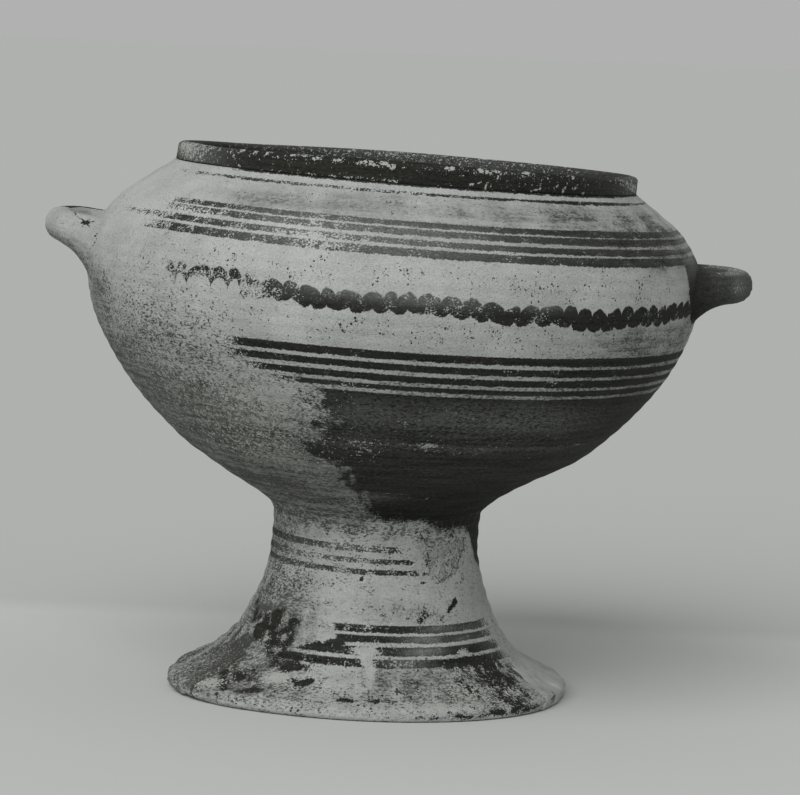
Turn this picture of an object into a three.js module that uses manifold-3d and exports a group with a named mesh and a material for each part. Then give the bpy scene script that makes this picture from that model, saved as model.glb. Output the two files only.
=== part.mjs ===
// Footed bowl: a wheel-thrown clay mixing bowl with an upright lip and two loop handles,
// luted on top of a hollow conical pedestal, with three old repairs in plaster.
// Millimetres, +Z up. The floor is Z = 0 and the handles point along -X and +X.
import * as THREE from "three";
import { mergeVertices } from "three/addons/utils/BufferGeometryUtils.js";
import Module from "manifold-3d";

const wasm = await Module();
wasm.setup();

// Driving dimensions in millimetres and degrees. A profile point is [radius, height],
// with the height counted along the pot's own axis from the floor.
const fit = { gap: 0.3, segments: 60 };

const slump = {
  lean: 0.025, // radians that the stem bends towards +X
  bendLength: 89, // height over which the bend comes on
  sag: 0.018, // radians that the rim adds to it, coming on late above sagStart
  nod: 0.012, // radians that the rim tips up at the front, coming on in the same way
  sagStart: 190,
  rimShift: 4.5, // how far the lip was pulled off the axis, from shiftStart upwards
  shiftStart: 215,
  neckShift: 4.4, // how far the foot of the bowl bulges to -X, round neckHeight
  neckHeight: 128,
  neckSpread: 16,
};

// The foot's plan isn't quite round: the edge swells and draws in at these azimuths, in mm,
// all the way up to full, and less and less from there to gone.
const footPlan = {
  full: 6,
  gone: 24,
  swells: [
    { azimuth: -146, reach: 8, width: 24 },
    { azimuth: -44, reach: 3.5, width: 26 },
    { azimuth: 2, reach: -1, width: 20 },
    { azimuth: 176, reach: -1.6, width: 18 },
  ],
};

const pedestal = {
  top: 113,
  outer: [[118.4, 0.8], [119.6, 3.4], [117.8, 7.8], [106.6, 12.8], [89.8, 22.8], [81.2, 33],
    [74.4, 45.3], [67.6, 61.5], [62.9, 80], [61.8, 98], [63.2, 108.5], [66.6, 113]],
  inner: [[50, 113], [50.5, 96], [53, 78], [59, 58], [68, 38], [80, 21], [93, 9], [102, 2]],
  restingRing: [104, 116.5], // the flat ring that stands on the floor
  outerSteps: 18,
  innerSteps: 8,
};

const bowl = {
  outer: [[66.8, 113], [75.2, 119.8], [86.8, 126.8], [101.4, 135.4], [122, 148], [148.5, 173],
    [167.5, 198], [179.5, 223], [184, 248], [181, 268], [169, 286], [154.5, 297.6], [143, 305.6],
    [138.3, 309.4]],
  outerSteps: 24,
  floorThickness: 14,
  undersideDrop: 9, // how far the rounded underside reaches down into the stem
  seatInner: 50.6, // inner radius of the flat ring that sits on the stem
  wall: { low: 12, high: 8, thinAt: 170 }, // thickness at the neck, at the shoulder, and where it evens out
  innerSteps: 14,
};

const lip = { top: 320.8, outerTop: 137.9, outerFoot: 138.2, wall: 8.4, crown: 2.8, roundSteps: 6 };

const lutingCoil = { height: 13, width: 10, hollow: 0.45, steps: 4 };

// The roll swells towards its roots, downwards and a little to the sides, while its top stays level. The
// swelling is counted from the roll's ends, which are trimmed away inside the wall.
const handleRoll = {
  radial: 8.2,
  vertical: 10.4,
  flare: 1.2,
  flareLength: 0.25,
  sideShare: 0.5,
  sides: 12,
  steps: 36,
};
const handles = [
  { name: "handle_left", azimuth: 180, rootHeight: 264.6, tipHeight: 266, reach: 203.4, halfSpan: 37 },
  { name: "handle_right", azimuth: 0, rootHeight: 256.7, tipHeight: 258.6, reach: 206.8, halfSpan: 37 },
];
const handleRootDepth = 14; // how far a roll would run on inside the wall before it is trimmed

const repairs = [
  { name: "repair_foot_right", from: -27, to: 48, inner: 84, outer: 140, bottom: -10, top: 40 },
  { name: "repair_foot_left", from: 150, to: 214, inner: 82, outer: 140, bottom: -10, top: 40 },
  { name: "repair_stem", from: -62, to: -33, inner: 58, outer: 90, bottom: 72, top: 101 },
];

const finish = {
  clay: new THREE.MeshStandardMaterial({ color: 0x8d8f89, roughness: 0.85, metalness: 0 }),
  paintedClay: new THREE.MeshStandardMaterial({ color: 0x34352f, roughness: 0.6, metalness: 0 }),
  plaster: new THREE.MeshStandardMaterial({ color: 0x9b9d9a, roughness: 0.9, metalness: 0 }),
};

const degrees = (angle) => THREE.MathUtils.degToRad(angle);
const point = ([radius, height]) => new THREE.Vector2(radius, height);

// A smooth curve through a few [radius, height] points.
function smooth(points, steps) {
  return new THREE.SplineCurve(points.map(point)).getPoints(steps);
}

// The pot's axis at one height: how far it has moved along X, and how far it leans and nods there.
function axisAt(height) {
  const eased = 1 - Math.exp(-height / slump.bendLength);
  const span = lip.top - slump.sagStart;
  const sagging = Math.max(0, (height - slump.sagStart) / span);
  const shifting = Math.max(0, (height - slump.shiftStart) / (lip.top - slump.shiftStart));
  const neck = (height - slump.neckHeight) / slump.neckSpread;
  return {
    tilt: slump.lean * eased + slump.sag * sagging ** 5,
    nod: slump.nod * sagging ** 5,
    x:
      slump.lean * (height - slump.bendLength * eased) +
      (slump.sag * span * sagging ** 6) / 6 +
      slump.rimShift * shifting ** 1.6 -
      slump.neckShift * Math.exp(-neck * neck),
  };
}

// How much wider than round the foot is at one azimuth and height, in mm.
function footSwell(azimuth, height) {
  const fade = 1 - THREE.MathUtils.smoothstep(height, footPlan.full, footPlan.gone);
  return footPlan.swells.reduce((total, swell) => {
    const off = THREE.MathUtils.euclideanModulo(azimuth - swell.azimuth + 180, 360) - 180;
    return total + fade * swell.reach * Math.exp(-((off / swell.width) ** 2));
  }, 0);
}

// Carries a straight-thrown geometry over to the leaning pot, vertex by vertex.
function lean(geometry) {
  const position = geometry.getAttribute("position");
  const at = new THREE.Vector3();
  for (let i = 0; i < position.count; i++) {
    at.fromBufferAttribute(position, i);
    const radius = Math.hypot(at.x, at.y);
    if (at.z < footPlan.gone && radius > 0) {
      const azimuth = THREE.MathUtils.radToDeg(Math.atan2(at.y, at.x));
      const wider = 1 + footSwell(azimuth, at.z) / radius;
      at.x *= wider;
      at.y *= wider;
    }
    const { tilt, nod, x } = axisAt(at.z);
    position.setXYZ(i, at.x * Math.cos(tilt) + x, at.y, at.z - at.x * Math.sin(tilt) - at.y * nod);
  }
  geometry.computeVertexNormals();
  return geometry;
}

function toSolid(geometry) {
  const bare = new THREE.BufferGeometry();
  bare.setAttribute("position", geometry.getAttribute("position"));
  bare.setIndex(geometry.getIndex());
  const merged = mergeVertices(bare, 1e-3);
  return new wasm.Manifold(
    new wasm.Mesh({
      numProp: 3,
      vertProperties: merged.getAttribute("position").array,
      triVerts: new Uint32Array(merged.getIndex().array),
    }),
  );
}

function toGeometry(solid) {
  const mesh = solid.getMesh();
  const geometry = new THREE.BufferGeometry();
  geometry.setAttribute("position", new THREE.BufferAttribute(mesh.vertProperties, 3));
  geometry.setIndex(new THREE.BufferAttribute(mesh.triVerts, 1));
  return geometry;
}

// A revolve round Z of a profile of Vector2(radius, height), which ends on the axis or closes on itself.
function thrown(profile, segments = fit.segments) {
  return new THREE.LatheGeometry(profile, segments).rotateX(Math.PI / 2);
}

// A block over a sector of the foot, grown on every side by a margin.
function sectorBlock({ from, to, inner, outer, bottom, top }, margin) {
  const shape = new THREE.Shape();
  const spread = THREE.MathUtils.radToDeg(margin / inner);
  shape.absarc(0, 0, outer, degrees(from - spread), degrees(to + spread), false);
  shape.absarc(0, 0, inner - margin, degrees(to + spread), degrees(from - spread), true);
  const block = new THREE.ExtrudeGeometry(shape, {
    depth: top - bottom + 2 * margin,
    bevelEnabled: false,
    curveSegments: 12,
  });
  return toSolid(block.translate(0, 0, bottom - margin));
}

function pedestalProfile() {
  const [restInner, restOuter] = pedestal.restingRing;
  const outside = smooth(pedestal.outer, pedestal.outerSteps);
  const inside = smooth(pedestal.inner, pedestal.innerSteps);
  const rest = [new THREE.Vector2(restInner, 0), new THREE.Vector2(restOuter, 0)];
  return [...rest, ...outside, ...inside, rest[0].clone()];
}

// The pedestal is thrown whole, and each repair takes the place of the clay that is lost.
function pedestalAndRepairs() {
  const whole = toSolid(thrown(pedestalProfile()));
  let kept = whole;
  const pieces = repairs.map((repair) => {
    kept = kept.subtract(sectorBlock(repair, fit.gap));
    return { name: repair.name, geometry: toGeometry(whole.intersect(sectorBlock(repair, 0))) };
  });
  return [{ name: "pedestal", geometry: toGeometry(kept) }, ...pieces];
}

// The bowl's outer wall, from the ring that sits on the stem up to the foot of the lip.
function bowlOutside(grow = 0) {
  return smooth(bowl.outer, bowl.outerSteps).map((p) => new THREE.Vector2(p.x + grow, p.y));
}

// The inner wall is the outer curve moved in square to itself by the wall's thickness.
function bowlInside() {
  const curve = new THREE.SplineCurve(bowl.outer.map(point));
  const [, startHeight] = bowl.outer[0];
  const inside = [];
  for (let i = bowl.innerSteps; i >= 0; i--) {
    const along = THREE.MathUtils.lerp(0.06, 1, i / bowl.innerSteps);
    const at = curve.getPoint(along);
    const tangent = curve.getTangent(along);
    const thin = THREE.MathUtils.smoothstep(at.y, startHeight, bowl.wall.thinAt);
    const wall = THREE.MathUtils.lerp(bowl.wall.low, bowl.wall.high, thin);
    inside.push(new THREE.Vector2(at.x - tangent.y * wall, at.y + tangent.x * wall));
  }
  inside[0].set(lip.outerFoot - lip.wall, bowl.outer.at(-1)[1]);
  return inside;
}

// The rounded underside that closes the stem: a parabola from its lowest point on the axis.
function bowlUnderside(steps = 5) {
  const seat = bowl.outer[0][1] + fit.gap;
  return Array.from({ length: steps + 1 }, (_, i) => {
    const radius = (bowl.seatInner * i) / steps;
    const share = (radius / bowl.seatInner) ** 2;
    return new THREE.Vector2(radius, seat - bowl.undersideDrop * (1 - share));
  });
}

function bowlGeometry() {
  const outside = bowlOutside();
  outside[0].y += fit.gap;
  const floor = new THREE.Vector2(0, bowl.outer[0][1] - bowl.undersideDrop + bowl.floorThickness);
  return thrown([...bowlUnderside(), ...outside, ...bowlInside(), floor]);
}

// The upright lip: a short ring with a rounded top, standing on the shoulder.
function lipGeometry() {
  const foot = bowl.outer.at(-1)[1] + fit.gap;
  const half = lip.wall / 2;
  const profile = [new THREE.Vector2(lip.outerFoot - lip.wall, foot), new THREE.Vector2(lip.outerFoot, foot)];
  for (let i = 0; i <= lip.roundSteps; i++) {
    const turn = (Math.PI * i) / lip.roundSteps;
    profile.push(new THREE.Vector2(
      lip.outerTop - half + half * Math.cos(turn),
      lip.top - lip.crown * (1 - Math.sin(turn)),
    ));
  }
  return thrown([...profile, profile[0].clone()]);
}

// A fillet of soft clay pressed into the corner between the stem's bore and the bowl's underside.
function lutingCoilGeometry() {
  const underside = bowlUnderside();
  const bore = pedestal.inner[0][0] - fit.gap;
  const corner = pedestal.top - fit.gap;
  const undersideAt = (radius) =>
    corner + fit.gap - bowl.undersideDrop * (1 - (radius / bowl.seatInner) ** 2) - fit.gap;
  const start = new THREE.Vector2(bore, corner - lutingCoil.height);
  const end = new THREE.Vector2(bore - lutingCoil.width, undersideAt(bore - lutingCoil.width));
  const middle = new THREE.Vector2(
    THREE.MathUtils.lerp(start.x, end.x, lutingCoil.hollow),
    THREE.MathUtils.lerp(start.y, end.y, 1 - lutingCoil.hollow),
  );
  const face = new THREE.QuadraticBezierCurve(end, middle, start).getPoints(lutingCoil.steps);
  const profile = [start, new THREE.Vector2(bore, undersideAt(bore)), ...face];
  return thrown(profile);
}

// A roll of clay carried along a flat loop, oval in section and flared at its two roots.
function handleGeometry({ azimuth, rootHeight, tipHeight, reach, halfSpan }) {
  const wallRadius = bowl.outer.reduce((widest, [radius]) => Math.max(widest, radius), 0);
  const start = wallRadius - handleRootDepth;
  const rise = (along) => THREE.MathUtils.lerp(rootHeight, tipHeight, (along - start) / (reach - start));
  const half = [[start, 1.0], [wallRadius - 1, 0.98], [wallRadius + 9, 0.86], [reach - 4, 0.52]];
  const loop = [
    ...half.map(([along, share]) => new THREE.Vector3(along, -halfSpan * share, rise(along))),
    new THREE.Vector3(reach, 0, tipHeight),
    ...half.reverse().map(([along, share]) => new THREE.Vector3(along, halfSpan * share, rise(along))),
  ];
  const path = new THREE.CatmullRomCurve3(loop, false, "centripetal");
  const positions = [];
  const index = [];
  const { sides, steps } = handleRoll;
  for (let i = 0; i <= steps; i++) {
    const along = i / steps;
    const centre = path.getPointAt(along);
    const tangent = path.getTangentAt(along);
    const outward = new THREE.Vector3(tangent.y, -tangent.x, 0).normalize();
    const upward = new THREE.Vector3().crossVectors(outward, tangent).normalize();
    const fromRoot = Math.min(1, Math.min(along, 1 - along) / handleRoll.flareLength);
    const swell = handleRoll.flare * (1 - fromRoot) ** 2;
    const radial = handleRoll.radial * (1 + swell * handleRoll.sideShare);
    const vertical = handleRoll.vertical * (1 + swell);
    centre.z -= handleRoll.vertical * swell;
    for (let k = 0; k < sides; k++) {
      const turn = (2 * Math.PI * k) / sides;
      const at = centre.clone()
        .addScaledVector(outward, radial * Math.cos(turn))
        .addScaledVector(upward, vertical * Math.sin(turn));
      positions.push(at.x, at.y, at.z);
      if (i < steps) {
        const here = i * sides + k;
        const next = i * sides + ((k + 1) % sides);
        index.push(here, here + sides, next, next, here + sides, next + sides);
      }
    }
  }
  for (let k = 1; k < sides - 1; k++) {
    const last = steps * sides;
    index.push(0, k, k + 1, last, last + k + 1, last + k);
  }
  const geometry = new THREE.BufferGeometry();
  geometry.setAttribute("position", new THREE.Float32BufferAttribute(positions, 3));
  geometry.setIndex(index);
  return geometry.rotateZ(degrees(azimuth));
}

// Each handle ends at the bowl's wall, a hair clear of it.
function trimmedHandles() {
  const outside = bowlOutside(fit.gap);
  const { x: neckRadius, y: neckHeight } = outside[0];
  const { x: rimRadius, y: rimHeight } = outside.at(-1);
  const plug = toSolid(thrown([
    new THREE.Vector2(0, neckHeight),
    new THREE.Vector2(neckRadius, neckHeight),
    ...outside.slice(1, -1),
    new THREE.Vector2(rimRadius, rimHeight),
    new THREE.Vector2(0, rimHeight),
  ]));
  return handles.map((handle) => ({
    name: handle.name,
    geometry: toGeometry(toSolid(handleGeometry(handle)).subtract(plug)),
  }));
}

const footedBowl = new THREE.Group();

function place({ name, geometry }, material) {
  const mesh = new THREE.Mesh(lean(geometry), material);
  mesh.name = name;
  footedBowl.add(mesh);
}

for (const piece of pedestalAndRepairs()) {
  place(piece, piece.name === "pedestal" ? finish.clay : finish.plaster);
}
place({ name: "luting_coil", geometry: lutingCoilGeometry() }, finish.clay);
place({ name: "bowl", geometry: bowlGeometry() }, finish.clay);
place({ name: "lip", geometry: lipGeometry() }, finish.paintedClay);
for (const piece of trimmedHandles()) {
  place(piece, piece.name === "handle_left" ? finish.clay : finish.paintedClay);
}

// The origin is on the floor, under the middle of the whole pot.
const extent = new THREE.Box3().setFromObject(footedBowl);
footedBowl.position.set(-(extent.min.x + extent.max.x) / 2, -(extent.min.y + extent.max.y) / 2, 0);

export default footedBowl;
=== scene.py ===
import bpy
import numpy as np
from mathutils import Matrix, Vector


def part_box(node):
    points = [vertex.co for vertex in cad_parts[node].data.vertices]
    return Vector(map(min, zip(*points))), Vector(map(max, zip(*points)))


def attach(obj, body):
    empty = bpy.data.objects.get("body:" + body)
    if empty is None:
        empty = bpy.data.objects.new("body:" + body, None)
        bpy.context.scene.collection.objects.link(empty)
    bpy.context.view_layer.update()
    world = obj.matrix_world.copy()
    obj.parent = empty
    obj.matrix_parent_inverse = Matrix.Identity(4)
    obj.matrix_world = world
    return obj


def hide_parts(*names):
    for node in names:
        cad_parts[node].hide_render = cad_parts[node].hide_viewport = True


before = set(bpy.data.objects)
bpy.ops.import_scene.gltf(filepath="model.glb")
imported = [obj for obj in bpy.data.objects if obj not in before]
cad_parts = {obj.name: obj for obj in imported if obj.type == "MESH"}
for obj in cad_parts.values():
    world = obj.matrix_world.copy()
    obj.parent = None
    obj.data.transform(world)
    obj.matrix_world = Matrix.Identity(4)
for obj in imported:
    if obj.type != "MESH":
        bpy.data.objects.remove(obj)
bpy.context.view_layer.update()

mm = 0.001
fullTurn = 2.0 * np.pi

# The pot was thrown straight and leaned while it was soft: radians, and heights in mm from the floor
slump = {
    "lean": 0.025, "bendLength": 89.0,
    "sag": 0.018, "nod": 0.012, "sagStart": 190.0, "top": 320.8,
    "rimShift": 4.5, "shiftStart": 215.0,
    "neckShift": 4.4, "neckHeight": 128.0, "neckSpread": 16.0,
}
# The foot isn't quite round: front angle, mm and half width in degrees of each swell or hollow of its edge,
# whole up to full and fading until gone. The left edge is worn underneath and stands a little off the floor.
footPlan = {
    "widest": 119.6, "widestAt": 3.4, "full": 6.0, "gone": 24.0,
    "swells": [(-56.0, 8.0, 24.0), (46.0, 3.5, 26.0), (92.0, -1.0, 20.0), (-94.0, -1.6, 18.0)],
    "liftAngle": -74.0, "liftHalf": 24.0, "lift": 1.4, "liftGone": 9.0, "liftFrom": 96.0, "liftFull": 112.0,
}
footCentre = 0.0


def turnedFrom(angle, middle):
    # degrees round from the middle, between -180 and 180
    return (angle - middle + 180.0) % 360.0 - 180.0


def onPot(radius, angle, height):
    # the point at a front angle, where 0 faces the front (-Y) and the angle grows towards +X
    turn = np.radians(angle)
    return np.stack(np.broadcast_arrays(radius * np.sin(turn), -radius * np.cos(turn), height), -1)


def settled(points):
    # radius + swells(angle) * fade(height), and height + lift at the worn left edge
    radius, height = np.hypot(points[..., 0], points[..., 1]), points[..., 2]
    angle = np.degrees(np.arctan2(points[..., 0], -points[..., 1]))
    wider = np.zeros(radius.shape)
    for middle, reach, half in footPlan["swells"]:
        wider += reach * np.exp(-(turnedFrom(angle, middle) / half) ** 2)
    wider *= 1.0 - ramp01(height, footPlan["full"], footPlan["gone"])
    lifted = footPlan["lift"] * np.exp(-((angle - footPlan["liftAngle"]) / footPlan["liftHalf"]) ** 4)
    lifted *= 1.0 - ramp01(height, 0.0, footPlan["liftGone"])
    lifted *= ramp01(radius, footPlan["liftFrom"], footPlan["liftFull"])
    scale = 1.0 + wider / np.maximum(radius, 1.0)
    return np.stack([points[..., 0] * scale, points[..., 1] * scale, height + lifted], -1)


def leaned(points):
    # straight-pot mm to metres in the frame: x turns by the tilt round the axis, whose tilt grows as
    # 1 - exp(-h / bendLength) and, near the rim, by a little more; the rim's front is tipped up by the nod
    points = settled(points)
    height = points[..., 2]
    eased = 1.0 - np.exp(-height / slump["bendLength"])
    span = slump["top"] - slump["sagStart"]
    sagging = np.clip((height - slump["sagStart"]) / span, 0.0, None)
    shifting = np.clip((height - slump["shiftStart"]) / (slump["top"] - slump["shiftStart"]), 0.0, None)
    neck = (height - slump["neckHeight"]) / slump["neckSpread"]
    tilt = slump["lean"] * eased + slump["sag"] * sagging ** 5
    axis = (slump["lean"] * (height - slump["bendLength"] * eased) + slump["sag"] * span * sagging ** 6 / 6.0
            + slump["rimShift"] * shifting ** 1.6 - slump["neckShift"] * np.exp(-neck * neck))
    level = height - points[..., 0] * np.sin(tilt) - points[..., 1] * slump["nod"] * sagging ** 5
    across = points[..., 0] * np.cos(tilt) + axis
    return np.stack([across * mm + footCentre, points[..., 1] * mm, level * mm], -1)


def smoothThrough(points, count):
    # a uniform Catmull-Rom curve through the points, with its ends doubled
    p = np.array(points, float)
    t = np.linspace(0.0, len(p) - 1.0, count)
    i = np.minimum(t.astype(int), len(p) - 2)
    w = (t - i)[:, None]
    last = len(p) - 1
    before, start, end, after = p[np.maximum(i - 1, 0)], p[i], p[i + 1], p[np.minimum(i + 2, last)]
    leave, arrive = (end - before) / 2.0, (after - start) / 2.0
    return ((2 * start - 2 * end + leave + arrive) * w ** 3
            + (3 * end - 3 * start - 2 * leave - arrive) * w ** 2 + leave * w + start)


def evenly(points, count):
    # the same line with its points spread evenly along its length
    steps = np.r_[0.0, np.cumsum(np.linalg.norm(np.diff(points, axis=0), axis=1))]
    places = np.linspace(0.0, steps[-1], count)
    return np.stack([np.interp(places, steps, points[:, k]) for k in range(points.shape[1])], -1)


def headings(points):
    # the line's unit direction at each of its points
    steps = np.gradient(points, axis=0)
    return steps / (np.linalg.norm(steps, axis=1, keepdims=True) + 1e-9)


def ramp01(value, low, high):
    t = np.clip((value - low) / (high - low), 0.0, 1.0)
    return t * t * (3.0 - 2.0 * t)


# Where the pot stands: the left end of the foot's edge meets the left end of the CAD foot
edge = leaned(onPot(footPlan["widest"], np.arange(360.0), footPlan["widestAt"]))
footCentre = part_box("repair_foot_left")[0][0] - edge[:, 0].min()


def unevenness(angle, height, seed, count=26, longest=90.0, shortest=9.0):
    # a sum of cosines with whole waves round the pot, so that it closes, with lengths in mm; about -1 to 1
    girth, least = 1000.0, 0.15      # mm round the pot, and the share of strength that a short wave keeps
    rng = np.random.default_rng(seed)
    total = np.zeros(np.broadcast(angle, height).shape)
    weight = 0.0
    for length in np.geomspace(longest, shortest, count):
        turns = int(rng.integers(0, max(2, int(girth / length))))
        slope = rng.normal() * fullTurn / length
        strength = length / longest + least
        total += strength * np.cos(turns * np.radians(angle) + slope * height + rng.uniform(0, fullTurn))
        weight += strength ** 2
    return total / np.sqrt(weight)


def spots(angle, height, places):
    # soft ellipses: each (angle, height, half width, half height, amount) adds amount * exp(-x^2 - y^2)
    total = np.zeros(np.broadcast(angle, height).shape)
    for middle, level, wide, tall, amount in places:
        total += amount * np.exp(-(turnedFrom(angle, middle) / wide) ** 2 - ((height - level) / tall) ** 2)
    return total


def strokes(angle, height, radius, lines):
    # soft marks: each (angle, height, angle, height, half width in mm, amount) adds amount * exp(-d^2), where
    # d counts the half widths from the line between its two points, on a wall of this radius
    total = np.zeros(np.broadcast(angle, height).shape)
    x = np.radians(angle) * radius
    for fromAngle, fromHeight, toAngle, toHeight, half, amount in lines:
        fromX, alongX = np.radians(fromAngle) * radius, np.radians(toAngle - fromAngle) * radius
        alongY = toHeight - fromHeight
        share = ((x - fromX) * alongX + (height - fromHeight) * alongY) / (alongX ** 2 + alongY ** 2 + 1e-9)
        share = np.clip(share, 0.0, 1.0)
        offX, offY = x - fromX - share * alongX, height - fromHeight - share * alongY
        total += amount * np.exp(-(offX ** 2 + offY ** 2) / half ** 2)
    return total


def place(name, data):
    thing = bpy.data.objects.new(name, data)
    bpy.context.scene.collection.objects.link(thing)
    return thing


def addMesh(name, verts, faces, fields):
    # verts are straight-pot mm, kept as an attribute for the patterns; fields are numbers, one a vertex
    mesh = bpy.data.meshes.new(name)
    mesh.from_pydata(leaned(verts).tolist(), [], faces)
    mesh.polygons.foreach_set("use_smooth", np.ones(len(mesh.polygons), bool))
    mesh.attributes.new("straightPot", "FLOAT_VECTOR", "POINT").data.foreach_set("vector", verts.ravel())
    for key, field in fields.items():
        mesh.attributes.new(key, "FLOAT", "POINT").data.foreach_set("value", field)
    mesh.update()
    return place(name, mesh)


def roundMesh(name, rows, fields, poles=None, closedRows=False):
    # rows is a grid (rows, columns, 3) whose columns close on themselves; poles are the two end points
    count, around = rows.shape[:2]
    verts = rows.reshape(-1, 3)
    base = np.arange(count * around).reshape(count, around)
    here, above = (base, np.roll(base, -1, axis=0)) if closedRows else (base[:-1], base[1:])
    quads = np.stack([here, np.roll(here, -1, axis=1), np.roll(above, -1, axis=1), above], -1)
    faces = quads.reshape(-1, 4).tolist()
    values = {key: np.broadcast_to(field, (count, around)).ravel() for key, field in fields.items()}
    if poles is not None:
        first, last = base[0], base[-1]
        start, end = len(verts), len(verts) + 1
        verts = np.vstack([verts, poles])
        faces += np.stack([np.roll(first, -1), first, np.full(around, start)], -1).tolist()
        faces += np.stack([last, np.roll(last, -1), np.full(around, end)], -1).tolist()
        values = {key: np.r_[value, value[0], value[-1]] for key, value in values.items()}
    return addMesh(name, verts, faces, values)


def spun(profile, around, relief):
    # a profile of (radius, height) turned about the axis, and pushed out square to itself by relief, in mm
    angle = np.linspace(-180.0, 180.0, around, endpoint=False)[None, :]
    height = np.repeat(profile[:, 1:], around, axis=1)
    steps = headings(profile)
    push = relief(angle, height)
    rows = onPot(profile[:, :1] + push * steps[:, 1:], angle, height - push * steps[:, :1])
    return rows, np.broadcast_to(angle, height.shape), height


def finishPiece(piece, material, node):
    piece.data.materials.append(material)
    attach(piece, "root")
    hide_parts(node)


# Colours, as sRGB hex: the photograph has no colour, so these are its greys as they stand
tones = {
    "slip": "#b3b6b4", "slipShade": "#909390", "clay": "#8b8c88", "clayDark": "#3b3c38",
    "paint": "#131410", "paintWorn": "#30312c", "washAndShade": "#4b4c48", "speck": "#2a2b26", "chipAndGlint": "#9fa19c",
    "plaster": "#a9aba7", "plasterShade": "#8a8c88", "floor": "#c1c3c1", "floorFar": "#b7b9b7",
}


def linear(hexColour):
    # sRGB hex to linear: c / 12.92 under 0.04045, ((c + 0.055) / 1.055) ^ 2.4 above it
    parts = np.array([int(hexColour[i:i + 2], 16) for i in (1, 3, 5)]) / 255.0
    return (*np.where(parts <= 0.04045, parts / 12.92, ((parts + 0.055) / 1.055) ** 2.4), 1.0)


def feed(tree, node, inputs):
    # each input of the node gets a link from a socket, or a plain value of its own
    for key, value in inputs.items():
        if isinstance(value, bpy.types.NodeSocket):
            tree.links.new(value, node.inputs[key])
        else:
            node.inputs[key].default_value = value


def add(tree, kind, links=(), out=0, **settings):
    # one node: links is a list or a dictionary of inputs, each a socket or a plain value; returns one output
    node = tree.nodes.new("ShaderNode" + kind)
    for key, value in settings.items():
        setattr(node, key, value)
    feed(tree, node, links if isinstance(links, dict) else dict(enumerate(links)))
    return node.outputs[out]


def newMaterial(name):
    material = bpy.data.materials.new(name)
    material.use_nodes = True
    return material, material.node_tree, material.node_tree.nodes["Principled BSDF"]


def grain(tree, pot, size, detail=3.0, stretch=(1.0, 1.0, 1.0)):
    # noise with features of size mm, longer where stretch is small, spread to about 0..1
    scaled = add(tree, "Mapping", {"Vector": pot, "Scale": tuple(s / size for s in stretch)})
    noise = add(tree, "TexNoise", {"Vector": scaled, "Scale": 1.0, "Detail": detail, "Roughness": 0.6})
    return add(tree, "MapRange", {"Value": noise, "From Min": 0.32, "From Max": 0.68})


def softStep(tree, value, limit, soft):
    # 0 to 1 as value passes from limit - soft to limit + soft
    past = add(tree, "Math", [value, limit], operation="SUBTRACT")
    return add(tree, "MapRange", {"Value": past, "From Min": -soft, "From Max": soft},
               interpolation_type="SMOOTHSTEP")


def bandDepth(tree, height, low, high, bands, reach=2.5):
    # how many mm a height lies inside the nearest of the (bottom, top) bands, less than 0 outside, at most
    # reach away from 0: a ramp of max over bands of min(h - bottom, top - h), with a stop wherever it turns
    edges = sorted(edge for band in bands for edge in band)
    turns = edges + [(a + b) / 2.0 for a, b in zip(edges, edges[1:])]
    turns += [edge + off for edge in edges for off in (-reach, reach)]
    turns = np.array(sorted({low, high, *(turn for turn in turns if low < turn < high)}))
    depth = np.max([np.minimum(turns - bottom, top - turns) for bottom, top in bands], axis=0)
    level = np.clip(depth / reach, -1.0, 1.0) * 0.5 + 0.5
    bend = np.r_[False, np.abs(np.diff(np.diff(level) / np.diff(turns))) > 1e-6, False]
    share = add(tree, "MapRange", {"Value": height, "From Min": low, "From Max": high})
    ramp = add(tree, "ValToRGB", [share])
    stops = ramp.node.color_ramp.elements
    for turn, value in zip(turns[bend], level[bend]):
        stops.new((turn - low) / (high - low)).color = (value, value, value, 1.0)
    for end in (0, -1):
        stops[end].color = (level[end], level[end], level[end], 1.0)
    return add(tree, "MapRange", {"Value": ramp, "To Min": -reach, "To Max": reach})


def waveStroke(tree, pot, over, body, coarse, speckled, wave):
    # one thick wavy stroke, where over is the height in mm above its middle: up to waist + lobe *
    # |cos phase| ^ round, so round domes over sharp notches, and down to the same with the sine, but not
    # deeper than body under its top
    x, back = [add(tree, "SeparateXYZ", [pot], out=axis) for axis in (0, 1)]
    front = add(tree, "Math", [back, -1.0], operation="MULTIPLY")
    turn = add(tree, "Math", [x, front], operation="ARCTAN2")
    wander = add(tree, "MapRange", {"Value": grain(tree, pot, wave["wanderSize"], 2.0),
                                    "To Min": -wave["wander"], "To Max": wave["wander"]})
    phase = add(tree, "Math", [turn, 180.0 / wave["degrees"], wander], operation="MULTIPLY_ADD")
    edges = []
    for kind, (waist, lobe) in (("COSINE", wave["over"]), ("SINE", wave["under"])):
        swing = add(tree, "Math", [add(tree, "Math", [phase], operation=kind)], operation="ABSOLUTE")
        swing = add(tree, "Math", [swing, wave["round"]], operation="POWER")
        reach = add(tree, "MapRange", {"Value": coarse, "To Min": lobe * (1.0 - wave["vary"]),
                                       "To Max": lobe * (1.0 + wave["vary"])})
        edges.append(add(tree, "Math", [swing, reach, waist], operation="MULTIPLY_ADD"))
    ragged = add(tree, "MapRange", {"Value": speckled, "To Min": -wave["ragged"], "To Max": wave["ragged"]})
    over = add(tree, "Math", [over, ragged], operation="ADD")
    under = add(tree, "Math", [edges[0], body], operation="SUBTRACT")
    floor = add(tree, "Math", [edges[1], -1.0], operation="MULTIPLY")
    floor = add(tree, "Math", [floor, under], operation="MAXIMUM")
    above = softStep(tree, over, floor, wave["soft"])
    below = softStep(tree, edges[0], over, wave["soft"])
    return add(tree, "Math", [above, below], operation="MULTIPLY")


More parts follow.
